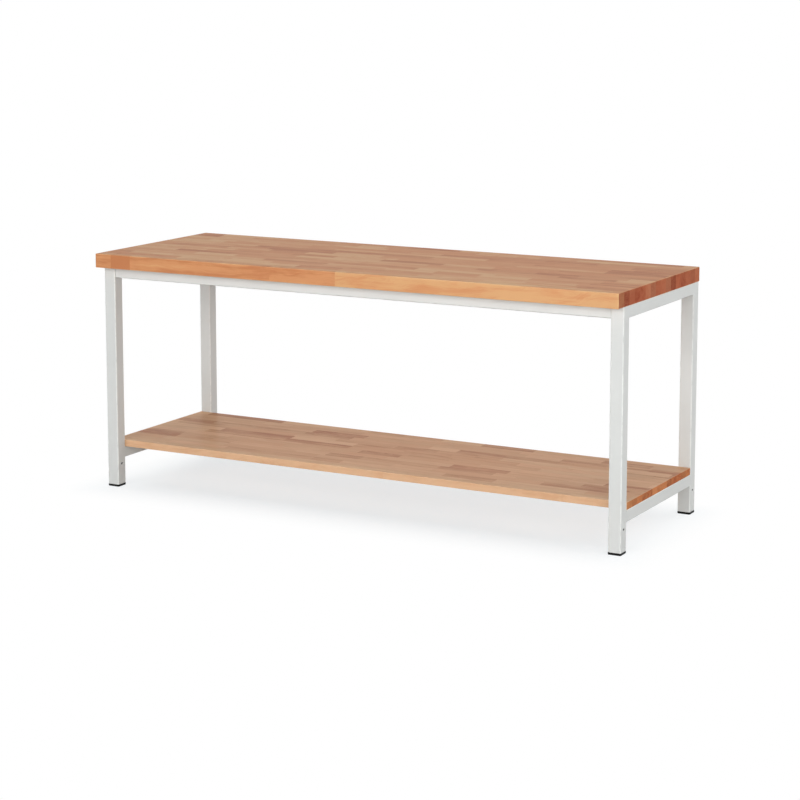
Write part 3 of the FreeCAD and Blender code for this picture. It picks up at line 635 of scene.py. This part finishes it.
class StudioSettings(bpy.types.PropertyGroup):
    """Floor, light and camera."""

    floor_size: bpy.props.FloatProperty(
        name="Floor size", description="Side of the square floor", default=90.0, unit="LENGTH"
    )
    surround_light: bpy.props.FloatProperty(
        name="Surround light", description="Light that the low walls of the room give the object",
        default=0.14, min=0
    )
    front_power: bpy.props.FloatProperty(
        name="Front power", description="Large soft light in front of the table", default=345.0, unit="POWER"
    )
    corner_power: bpy.props.FloatProperty(
        name="Corner power", description="Large soft light at the front right corner",
        default=290.0, unit="POWER"
    )
    side_power: bpy.props.FloatProperty(
        name="Side power", description="Soft light at the right end", default=50.0, unit="POWER"
    )
    left_power: bpy.props.FloatProperty(
        name="Left power", description="Weak soft light at the left end", default=50.0, unit="POWER"
    )
    top_power: bpy.props.FloatProperty(
        name="Top power", description="Soft light over the table", default=42.0, unit="POWER"
    )
    back_power: bpy.props.FloatProperty(
        name="Back power", description="Each of the two soft lights behind the table",
        default=110.0, unit="POWER"
    )
    camera_place: bpy.props.FloatVectorProperty(
        name="Camera place", description="Where the camera stands",
        default=(3.5911, -6.5122, 1.8446), subtype="TRANSLATION", unit="LENGTH"
    )
    camera_turn: bpy.props.FloatProperty(
        name="Camera turn", description="Turn of the view to the left of +Y", default=0.4996, subtype="ANGLE"
    )
    camera_dip: bpy.props.FloatProperty(
        name="Camera dip", description="How far the view points below level",
        default=0.1422, subtype="ANGLE"
    )
    camera_lens: bpy.props.FloatProperty(
        name="Lens", description="Focal length for a 36 mm sensor", default=97.68, unit="CAMERA"
    )
    camera_shift: bpy.props.FloatProperty(
        name="Shift", description="Vertical lens shift, as a share of the frame", default=-0.15
    )


SETTINGS = {"beech": BeechSettings, "steel_frame": FrameSettings, "studio": StudioSettings}


def settings(group):
    """The scene's settings of one kind."""
    return getattr(bpy.context.scene, f"table_{group}")


# Materials


def lay_front_stave(tree, place, pieces):
    """Piece number, distance to the nearest butt joint and tone along a stave whose joints are given."""
    x = parts_of(tree, place)[0]
    number = 0.0
    tone = pieces[0][1]
    butt = FAR_FROM_BUTT
    for (_start, before), (start, after) in zip(pieces, pieces[1:]):
        passed = maths("GREATER_THAN", tree, x, start)
        number = plus(tree, number, passed)
        tone = times_plus(tree, passed, after - before, tone)
        butt = smaller(tree, butt, absolute(tree, minus(tree, x, start)))
    return {"Laid_Piece": number, "Laid_Butt": butt, "Laid_Tone": tone, "Laid": 1.0}


def make_beech(board):
    """Oiled beech for one board, its staves laid out from the board's own box."""
    beech = settings("beech")
    look = board["look"]
    low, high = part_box(board["node"])
    depth = high.y - low.y
    material, tree, surface, place, facing = new_material(f"beech_{look}_finish")
    pale, middle, dark = [(*getattr(beech, f"{look}_{shade}"), 1.0) for shade in ("pale", "middle", "dark")]
    staves = place_group(
        tree, "Beech staves", Place=place, Facing=facing, Front=low.y, Depth=depth,
        Staves=float(round(depth / beech.stave_width)), Piece_Length=beech.piece_length,
        Middle_Height=(low.z + high.z) / 2, Ring_Spacing=beech.ring_spacing, Seed=board["seed"],
        Tone=getattr(beech, f"{look}_tone"), Pale=pale, Middle=middle, Dark=dark,
        End_Tint=board["end_tint"], Laid_Tint=board["front_face_light_tint"],
        **lay_front_stave(tree, place, board["front_stave"])
    )
    rim = place_group(tree, "Rims", Facing=facing, Place=place)["Mask"]
    # painted highlight: the rounded edges of the boards are lightened toward the pale wood
    rim_highlight = blend(tree, 0.5, staves["Color"], pale)
    colour = blend(tree, times(tree, rim, 0.6), staves["Color"], rim_highlight)
    roughness = times_plus(tree, staves["Gloss"], 0.12, beech.roughness - 0.06)
    roughness = times_plus(tree, staves["End Grain"], 0.16, roughness)
    lay_finish(tree, surface, colour, roughness, staves["Height"], 0.12 * MM, 0.6)
    oiled = times_plus(tree, staves["End Grain"], -0.18, 0.28)
    tree.links.new(oiled, surface.inputs["Coat Weight"])
    surface.inputs["Coat Roughness"].default_value = 0.28
    surface.inputs["Specular IOR Level"].default_value = 0.0
    return material


def make_powder_coat():
    """Light grey powder coat with a fine orange peel, a painted highlight on its rims and painted shade on
    those that face down.
    """
    steel = settings("steel_frame")
    material, tree, surface, place, facing = new_material("powder_coat")
    peel = noise(tree, place, [1.0 / steel.peel_size] * 3, 1.5)
    drift = noise(tree, place, COAT_DRIFT_SCALE, 3.0)
    marks = place_group(tree, "Handling marks", Place=place, Amount=1.0)["Mask"]
    rim = place_group(tree, "Rims", Facing=facing, Place=place)["Mask"]
    # painted shade: rims that face down are darkened instead of lightened
    below = times(tree, rim, fade(tree, parts_of(tree, facing)[2], -0.15, -0.5))
    rim = minus(tree, rim, below)
    deeper = [channel * 0.965 for channel in steel.coat_colour]
    base = blend(tree, fade(tree, drift, 0.35, 0.65), (*steel.coat_colour, 1.0), (*deeper, 1.0))
    base = blend(tree, times(tree, marks, 0.10), base, COAT_MARK)
    # painted highlight: the rounded rims are lightened toward a paler coat
    base = blend(tree, times(tree, rim, 0.9), base, COAT_RIM_HIGHLIGHT)
    base = blend(tree, times(tree, below, 0.85), base, COAT_RIM_SHADE)
    roughness = times_plus(tree, marks, 0.14, steel.coat_roughness - 0.03)
    roughness = times_plus(tree, peel, 0.06, roughness)
    roughness = times_plus(tree, rim, -0.12, roughness)
    bare = inside_legs(tree, place)
    base = blend(tree, bare, base, blend(tree, fade(tree, drift, 0.3, 0.7), *BARE_STEEL))
    roughness = times_plus(tree, bare, 0.25, roughness)
    lay_finish(tree, surface, base, roughness, peel, 0.04 * MM, 0.55)
    return material


def inside_legs(tree, place):
    """1 inside the four leg tubes, which the powder doesn't reach, and 0 outside them."""
    front_low, front_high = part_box("leg_front_right")
    back_low, back_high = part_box("leg_back_right")
    front = (front_low + front_high) / 2
    back = (back_low + back_high) / 2
    x, y, _z = parts_of(tree, place)
    from_x = absolute(tree, minus(tree, absolute(tree, x), front.x))
    from_middle = absolute(tree, minus(tree, y, (front.y + back.y) / 2))
    from_y = absolute(tree, minus(tree, from_middle, (back.y - front.y) / 2))
    reach = (front_high.x - front_low.x) / 2 - TUBE_WALL / 2
    return fade(tree, larger(tree, from_x, from_y), reach, reach - 0.3 * MM)


def make_foot_plastic():
    """Black moulded plastic with a fine spark-eroded grain, greyed by faint rubs and smears."""
    material, tree, surface, place, facing = new_material("foot_plastic_grain")
    grain = noise(tree, place, PLASTIC_GRAIN_SCALE, 3.0, 0.6)
    marks = place_group(tree, "Handling marks", Place=place, Amount=1.0)["Mask"]
    rim = place_group(tree, "Rims", Facing=facing, Place=place)["Mask"]
    colour = (*settings("steel_frame").plastic_colour, 1.0)
    # painted highlight: the rounded edges of the feet are lightened
    base = blend(tree, times(tree, rim, 0.2), colour, PLASTIC_RIM_HIGHLIGHT)
    base = blend(tree, times(tree, marks, 0.35), base, PLASTIC_MARK)
    lay_finish(tree, surface, base, times_plus(tree, grain, 0.18, 0.46), grain, 0.05 * MM, 0.7)
    surface.inputs["Specular IOR Level"].default_value = 0.1
    return material


def make_zinc():
    """Bright zinc plating, faintly mottled and marked by handling."""
    material, tree, surface, place, _facing = new_material("zinc_plating")
    mottle = noise(tree, place, ZINC_MOTTLE_SCALE, 4.0, 0.65)
    brushed = noise(tree, place, ZINC_BRUSH_SCALE)
    marks = place_group(tree, "Handling marks", Place=place, Amount=1.0)["Mask"]
    colour = (*settings("steel_frame").zinc_colour, 1.0)
    base = blend(tree, fade(tree, mottle, 0.35, 0.7), colour, ZINC_MOTTLE)
    base = blend(tree, times(tree, marks, 0.4), base, ZINC_MARK)
    lay_finish(tree, surface, base, times_plus(tree, mottle, 0.22, 0.20), brushed, 0.02 * MM, 0.5)
    surface.inputs["Metallic"].default_value = 1.0
    return material


# Operators


class TABLE_OT_finish_worktop(bpy.types.Operator):
    """Oiled beech staves for the worktop"""

    bl_idname = "table.finish_worktop"
    bl_label = "Finish worktop"

    def execute(self, context):
        dress([WORKTOP["node"]], make_beech(WORKTOP))
        return {"FINISHED"}


class TABLE_OT_finish_shelf(bpy.types.Operator):
    """Oiled beech staves for the shelf"""

    bl_idname = "table.finish_shelf"
    bl_label = "Finish shelf"

    def execute(self, context):
        dress([SHELF["node"]], make_beech(SHELF))
        return {"FINISHED"}


class TABLE_OT_finish_tubes(bpy.types.Operator):
    """Powder coat for the legs and rails"""

    bl_idname = "table.finish_tubes"
    bl_label = "Finish tubes"

    def execute(self, context):
        dress(LEGS + RAILS, make_powder_coat())
        return {"FINISHED"}


class TABLE_OT_finish_brackets(bpy.types.Operator):
    """Powder coat for the corner brackets"""

    bl_idname = "table.finish_brackets"
    bl_label = "Finish brackets"

    def execute(self, context):
        dress(BRACKETS, find_material("powder_coat"))
        return {"FINISHED"}


def add_fillet_bead(mesh, corner, first, second, along, length):
    """A convex bead with crescent ripples in the corner between two faces, thinner at its two ends."""
    size = 2.45 * MM
    ripple = 1.9 * MM
    thin_end = 2.6 * MM
    crescent = 0.55 * MM
    stations = 72
    facets = 8
    rings = []
    for station in range(stations + 1):
        share = station / stations
        travel = share * length
        swell = 1.0 - 0.10 * (0.5 + 0.5 * math.cos(2 * math.pi * travel / ripple))
        from_end = min(1.0, min(travel, length - travel) / thin_end)
        swell *= 0.25 + 0.75 * math.sqrt(1.0 - (1.0 - from_end) ** 2)
        swell *= 1.0 - 0.03 * math.sin(travel * 410.0)
        ring = [mesh.verts.new(corner + along * travel)]
        for facet in range(facets + 1):
            angle = math.pi / 2 * facet / facets
            lag = crescent * math.sin(2 * angle) * (1.0 - abs(2 * share - 1) ** 6)
            reach = size * swell * (0.90 + 0.10 * abs(math.cos(2 * angle)))
            spot = corner + first * (reach * math.cos(angle)) + second * (reach * math.sin(angle))
            ring.append(mesh.verts.new(spot + along * (travel + lag)))
        rings.append(ring)
    skin(mesh, rings, capped=True)


def add_seam(mesh, edge, inward, along_leg, length):
    """Weld metal ground nearly flush in the groove between a leg's round corner and the end of a rail."""
    width = 3.0 * MM
    radius = 4.0 * MM
    wear = 0.06 * MM
    stations = 22
    facets = 6
    lip = radius - math.sqrt(radius**2 - (radius - width) ** 2)
    first_angle = math.asin(1.0 - width / radius)
    last_angle = math.acos(1.0 - width / radius)
    rings = []
    for station in range(stations + 1):
        travel = length * station / stations
        worn = wear * (1.0 + math.sin(travel * 900.0) * math.cos(travel * 370.0))
        spots = [(worn, worn), (worn * 0.4, width), (lip, width)]
        for facet in range(1, facets):
            angle = first_angle + (last_angle - first_angle) * facet / facets
            spots.append((radius - radius * math.cos(angle), radius - radius * math.sin(angle)))
        spots += [(width, lip), (width, worn * 0.4)]
        base = edge + Vector((0, 0, travel))
        rings.append([mesh.verts.new(base + inward * deep + along_leg * wide) for deep, wide in spots])
    skin(mesh, rings, capped=True)


class TABLE_OT_lay_welds(bpy.types.Operator):
    """Rippled beads below and inside the end rails, and ground seams on their outside"""

    bl_idname = "table.lay_welds"
    bl_label = "Lay welds"

    def execute(self, context):
        round_corner = 3.5 * MM
        for end, outward in (("left", -1), ("right", 1)):
            mesh = bmesh.new()
            inward = Vector((-outward, 0, 0))
            for level in ("upper", "lower"):
                low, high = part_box(f"{level}_end_rail_{end}")
                inside_x, outside_x = (high.x, low.x) if outward < 0 else (low.x, high.x)
                upright = high.z - low.z - 2 * round_corner
                bead = high.x - low.x - 2 * round_corner
                for corner_y, away in ((low.y, 1), (high.y, -1)):
                    off_leg = Vector((0, away, 0))
                    start = Vector((low.x + round_corner, corner_y, low.z))
                    add_fillet_bead(mesh, start, off_leg, Vector((0, 0, -1)), Vector((1, 0, 0)), bead)
                    start = Vector((inside_x, corner_y, low.z + round_corner))
                    add_fillet_bead(mesh, start, off_leg, inward, Vector((0, 0, 1)), upright)
                    start = Vector((outside_x, corner_y, low.z + round_corner))
                    add_seam(mesh, start, inward, -off_leg, upright)
            name = f"rippled_welds_{end}"
            finish_piece(name, mesh, "powder_coat", f"weld_beads_{end}")
        return {"FINISHED"}


class TABLE_OT_finish_feet(bpy.types.Operator):
    """Moulded black plastic for the feet"""

    bl_idname = "table.finish_feet"
    bl_label = "Finish feet"

    def execute(self, context):
        dress(FEET, make_foot_plastic())
        return {"FINISHED"}


class TABLE_OT_finish_rivet_nuts(bpy.types.Operator):
    """Zinc plating for the rivet nuts"""

    bl_idname = "table.finish_rivet_nuts"
    bl_label = "Finish rivet nuts"

    def execute(self, context):
        dress(["rivet_nuts"], make_zinc())
        return {"FINISHED"}


def hexagon(across, limit):
    """The radius at each angle of a hexagon that is turned down to a limit."""
    sixth = math.pi / 3
    return lambda angle: min(limit, across / 2 / math.cos((angle + sixth / 2) % sixth - sixth / 2))


def star(middle, wave):
    """The radius at each angle of a recess with six round lobes."""
    return lambda angle: middle + wave * math.cos(6 * angle)


def add_flange_bolt(mesh, place):
    """A bolt with a hexagon head on a flange, in mm; its seat is at the origin and its thread along +Z."""
    flats = 13
    pitch = 1.25
    outer = 3.85
    core = 3.2
    rows = [(-6.2, 0), (-6.2, 4.1), (-6.5, 4.5), (-6.5, 6.45)]
    rows += [(-6.3, hexagon(flats, 6.8)), (-6.1, hexagon(flats, 7.15)), (-5.9, hexagon(flats, 7.5))]
    rows += [(-2.1, hexagon(flats, 7.5)), (-1.75, hexagon(flats + 0.3, 7.6)), (-1.55, 7.7), (-0.8, 8.1)]
    rows += [(-0.35, 8.45), (-0.12, 8.45), (0.0, 8.3), (0.0, outer), (0.8, outer)]
    rows += thread_rows(1.2, 16.8, pitch, outer, core) + [(17.4, 3.1), (18.0, 2.6), (18.0, 0)]
    lathe(mesh, place @ Matrix.Scale(MM, 4), rows)


def add_pan_screw(mesh, place, head, thread, length):
    """A wood screw with a pan head and a six-lobe recess, in mm; its seat is at the origin, its point up."""
    tall = head * 0.35
    half = head / 2
    core = thread * 0.36
    neck = core + 0.2
    outer = thread / 2 - 0.1
    lobes = star(head * 0.17, head * 0.03)
    floor = star(head * 0.155, head * 0.026)
    rows = [(-tall * 0.42, 0), (-tall * 0.50, floor), (-tall * 0.97, lobes), (-tall, half * 0.46)]
    rows += [(-tall * 0.97, half * 0.62), (-tall * 0.86, half * 0.80), (-tall * 0.66, half * 0.92)]
    rows += [(-tall * 0.36, half * 0.99), (-tall * 0.12, half), (0.0, half * 0.985), (0.0, neck), (2.2, neck)]
    rows += thread_rows(2.8, length - thread, thread * 0.45, outer, core)
    rows += [(length - thread * 0.5, core * 0.6), (length, 0.25), (length, 0)]
    lathe(mesh, place @ Matrix.Scale(MM, 4), rows)


class TABLE_OT_drive_bolts(bpy.types.Operator):
    """Flange bolts through the corner brackets into the rails"""

    bl_idname = "table.drive_bolts"
    bl_label = "Drive bolts"

    def execute(self, context):
        """Builds the sixteen bolts, each turned a little differently."""
        end_low, end_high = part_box("upper_end_rail_right")
        inside_x = end_low.x
        height = (end_low.z + end_high.z) / 2
        inner_y = {-1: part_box("long_rail_front")[1].y, 1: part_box("long_rail_back")[0].y}
        mesh = bmesh.new()
        for along in (-1, 1):
            for across in (-1, 1):
                for reach in BOLT_REACHES:
                    seats = (
                        (along * (inside_x - reach), inner_y[across] - across * BOLT_SEAT, (0, across, 0)),
                        (along * (inside_x - BOLT_SEAT), inner_y[across] - across * reach, (along, 0, 0)),
                    )
                    for x, y, way in seats:
                        turn = Matrix.Rotation(len(mesh.verts) * 0.37, 4, "Z")
                        lie = Vector(way).to_track_quat("Z", "Y").to_matrix().to_4x4()
                        add_flange_bolt(mesh, Matrix.Translation((x, y, height)) @ lie @ turn)
        finish_piece("flange_bolts", mesh, "zinc_plating", "frame_bolts")
        return {"FINISHED"}


class TABLE_OT_drive_screws(bpy.types.Operator):
    """Pan head screws that hold the worktop and the shelf"""

    bl_idname = "table.drive_screws"
    bl_label = "Drive screws"

    def execute(self, context):
        """Builds the screws from below into both boards."""
        for level, name, node, head, thread, length in (
            ("upper", "worktop_pan_screws", "worktop_screws", 12, 6, 40),
            ("lower", "shelf_pan_screws", "shelf_screws", 10, 5, 20),
        ):
            spots = []
            for end in ENDS:
                low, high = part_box(f"{level}_end_rail_{end}")
                middle = (low + high) / 2
                seat = high.z - TUBE_WALL
                spots += [(middle.x, middle.y - END_SCREW_REACH), (middle.x, middle.y + END_SCREW_REACH)]
            if level == "upper":
                for side in SIDES:
                    low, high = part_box(f"long_rail_{side}")
                    middle_y = (low.y + high.y) / 2
                    spots += [(x, middle_y) for x in (-LONG_SCREW_REACH, 0.0, LONG_SCREW_REACH)]
            mesh = bmesh.new()
            for x, y in spots:
                turn = Matrix.Rotation(len(mesh.verts) * 0.41, 4, "Z")
                add_pan_screw(mesh, Matrix.Translation((x, y, seat)) @ turn, head, thread, length)
            finish_piece(name, mesh, "zinc_plating", node)
        return {"FINISHED"}


def add_soft_light(name, power, turn, rise, distance, width, height, in_gloss):
    """A rectangular lamp that faces the table, turned from the front and raised by angles in degrees."""
    turn = math.radians(turn)
    rise = math.radians(rise)
    way = Vector((math.sin(turn) * math.cos(rise), -math.cos(turn) * math.cos(rise), math.sin(rise)))
    lamp = bpy.data.lights.new(name, "AREA")
    lamp.shape = "RECTANGLE"
    lamp.size = width
    lamp.size_y = height
    lamp.energy = power
    item = bpy.data.objects.new(name, lamp)
    bpy.context.scene.collection.objects.link(item)
    item.location = Vector(LAMP_TARGET) + way * distance
    item.rotation_euler = way.to_track_quat("Z", "Y").to_euler()
    item.visible_glossy = in_gloss


def seen_directly(tree):
    """1 for rays from the camera and for what gloss and glass show, 0 for rays that light the object."""
    path = tree.nodes.new("ShaderNodeLightPath").outputs
    seen = larger(tree, path["Is Camera Ray"], path["Is Glossy Ray"])
    return larger(tree, seen, path["Is Transmission Ray"])


class TABLE_OT_set_studio(bpy.types.Operator):
    """Pale floor, soft light and the camera"""

    bl_idname = "table.set_studio"
    bl_label = "Set studio"

    def execute(self, context):
        self.make_floor()
        self.make_world()
        self.make_lamps()
        self.make_camera()
        return {"FINISHED"}

    def make_floor(self):
        """A wide matt floor, seen from above only, that keeps the table's soft shadow and adds a painted
        shadow near and under the table.
        """
        half = settings("studio").floor_size / 2
        mesh = bpy.data.meshes.new("studio_floor")
        corners = [(-half, -half, 0.0), (half, -half, 0.0), (half, half, 0.0), (-half, half, 0.0)]
        mesh.from_pydata(corners, [], [(0, 1, 2, 3)])
        floor = bpy.data.objects.new("studio_floor", mesh)
        bpy.context.scene.collection.objects.link(floor)
        material, tree = empty_material("studio_floor")
        seen = seen_directly(tree)

        # The distance from the table's outline, negative under the table
        x, y, _z = parts_of(tree, tree.nodes.new("ShaderNodeTexCoord").outputs["Object"])
        past_x = minus(tree, absolute(tree, x), CAD_BOX[1].x)
        past_y = minus(tree, absolute(tree, y), CAD_BOX[1].y)
        past = vector_of(tree, larger(tree, past_x, 0.0), larger(tree, past_y, 0.0), 0.0)
        inside = smaller(tree, larger(tree, past_x, past_y), 0.0)
        far = fade(tree, plus(tree, length_of(tree, past), inside), *FLOOR_CHANGE)

        paint = blend(tree, seen, FLOOR_GREY, blend(tree, far, FLOOR_NEAR_PAINT, BLACK))
        matt = add(tree, "ShaderNodeBsdfDiffuse", {"Color": paint}).outputs[0]
        # painted shadow: the glow is dimmer and bluish near and under the table, and white further out
        white = blend(tree, far, FLOOR_PAINTED_SHADOW_GLOW, WHITE)
        glow = add(tree, "ShaderNodeEmission", {"Color": white, "Strength": seen}).outputs[0]
        both = add(tree, "ShaderNodeAddShader", {0: matt, 1: glow}).outputs[0]
        clear = tree.nodes.new("ShaderNodeBsdfTransparent").outputs[0]
        behind = tree.nodes.new("ShaderNodeNewGeometry").outputs["Backfacing"]
        one_sided = add(tree, "ShaderNodeMixShader", {0: behind, 1: both, 2: clear}).outputs[0]
        add(tree, "ShaderNodeOutputMaterial", {"Surface": one_sided})
        mesh.materials.append(material)

    def make_world(self):
        """A white room: white to look at, and as light strongest near the floor, with a dark ceiling."""
        world = bpy.data.worlds.new("studio_world")
        world.use_nodes = True
        tree = world.node_tree
        tree.nodes.clear()
        way = tree.nodes.new("ShaderNodeTexCoord").outputs["Generated"]
        up = larger(tree, parts_of(tree, way)[2], 0.0)
        low = maths("POWER", tree, minus(tree, 1.0, up), 2.0)
        low = times(tree, low, settings("studio").surround_light)
        strength = choose(tree, seen_directly(tree), low, 1.0)
        white = add(tree, "ShaderNodeBackground", {"Color": WHITE, "Strength": strength})
        add(tree, "ShaderNodeOutputWorld", {"Surface": white.outputs[0]})
        bpy.context.scene.world = world

    def make_lamps(self):
        """Large soft lamps: low in front and at the ends, weak ones over and behind the table."""
        for name, (power, *stand) in LAMPS.items():
            add_soft_light(name, getattr(settings("studio"), power), *stand)

    def make_camera(self):
        """The camera, nearly level, with a little vertical shift."""
        studio = settings("studio")
        lens = bpy.data.cameras.new("camera")
        lens.lens = studio.camera_lens
        lens.sensor_width = 36.0
        lens.shift_y = studio.camera_shift
        lens.clip_end = 200.0
        camera = bpy.data.objects.new("camera", lens)
        bpy.context.scene.collection.objects.link(camera)
        camera.location = studio.camera_place
        camera.rotation_euler = (math.pi / 2 - studio.camera_dip, 0.0, studio.camera_turn)
        bpy.context.scene.camera = camera
        bpy.context.scene.view_settings.view_transform = "Standard"


class TABLE_PT_panel(bpy.types.Panel):
    """Lists the table's operators and settings"""

    bl_idname = "TABLE_PT_panel"
    bl_label = "Assembly table"
    bl_space_type = "VIEW_3D"
    bl_region_type = "UI"
    bl_category = "Assembly table"

    def draw(self, context):
        """Draws a button for each operator and a field for each setting."""
        for operator in OPERATORS:
            self.layout.operator(operator.bl_idname)
        for group, kind in SETTINGS.items():
            box = self.layout.box()
            for name in kind.__annotations__:
                box.prop(settings(group), name)


OPERATORS = (
    TABLE_OT_finish_worktop,
    TABLE_OT_finish_shelf,
    TABLE_OT_finish_tubes,
    TABLE_OT_finish_brackets,
    TABLE_OT_lay_welds,
    TABLE_OT_finish_feet,
    TABLE_OT_finish_rivet_nuts,
    TABLE_OT_drive_bolts,
    TABLE_OT_drive_screws,
    TABLE_OT_set_studio,
)


def register():
    """Registers the settings, the operators and the panel."""
    for group, kind in SETTINGS.items():
        bpy.utils.register_class(kind)
        setattr(bpy.types.Scene, f"table_{group}", bpy.props.PointerProperty(type=kind))
    for kind in (*OPERATORS, TABLE_PT_panel):
        bpy.utils.register_class(kind)


def unregister():
    """Takes away what register added."""
    for kind in reversed((*OPERATORS, TABLE_PT_panel)):
        bpy.utils.unregister_class(kind)
    for group, kind in SETTINGS.items():
        delattr(bpy.types.Scene, f"table_{group}")
        bpy.utils.unregister_class(kind)


def main():
    """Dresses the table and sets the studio."""
    register()
    bpy.ops.table.finish_worktop()
    bpy.ops.table.finish_shelf()
    bpy.ops.table.finish_tubes()
    bpy.ops.table.finish_brackets()
    bpy.ops.table.lay_welds()
    bpy.ops.table.finish_feet()
    bpy.ops.table.finish_rivet_nuts()
    bpy.ops.table.drive_bolts()
    bpy.ops.table.drive_screws()
    bpy.ops.table.set_studio()


if __name__ == "__main__":
    main()
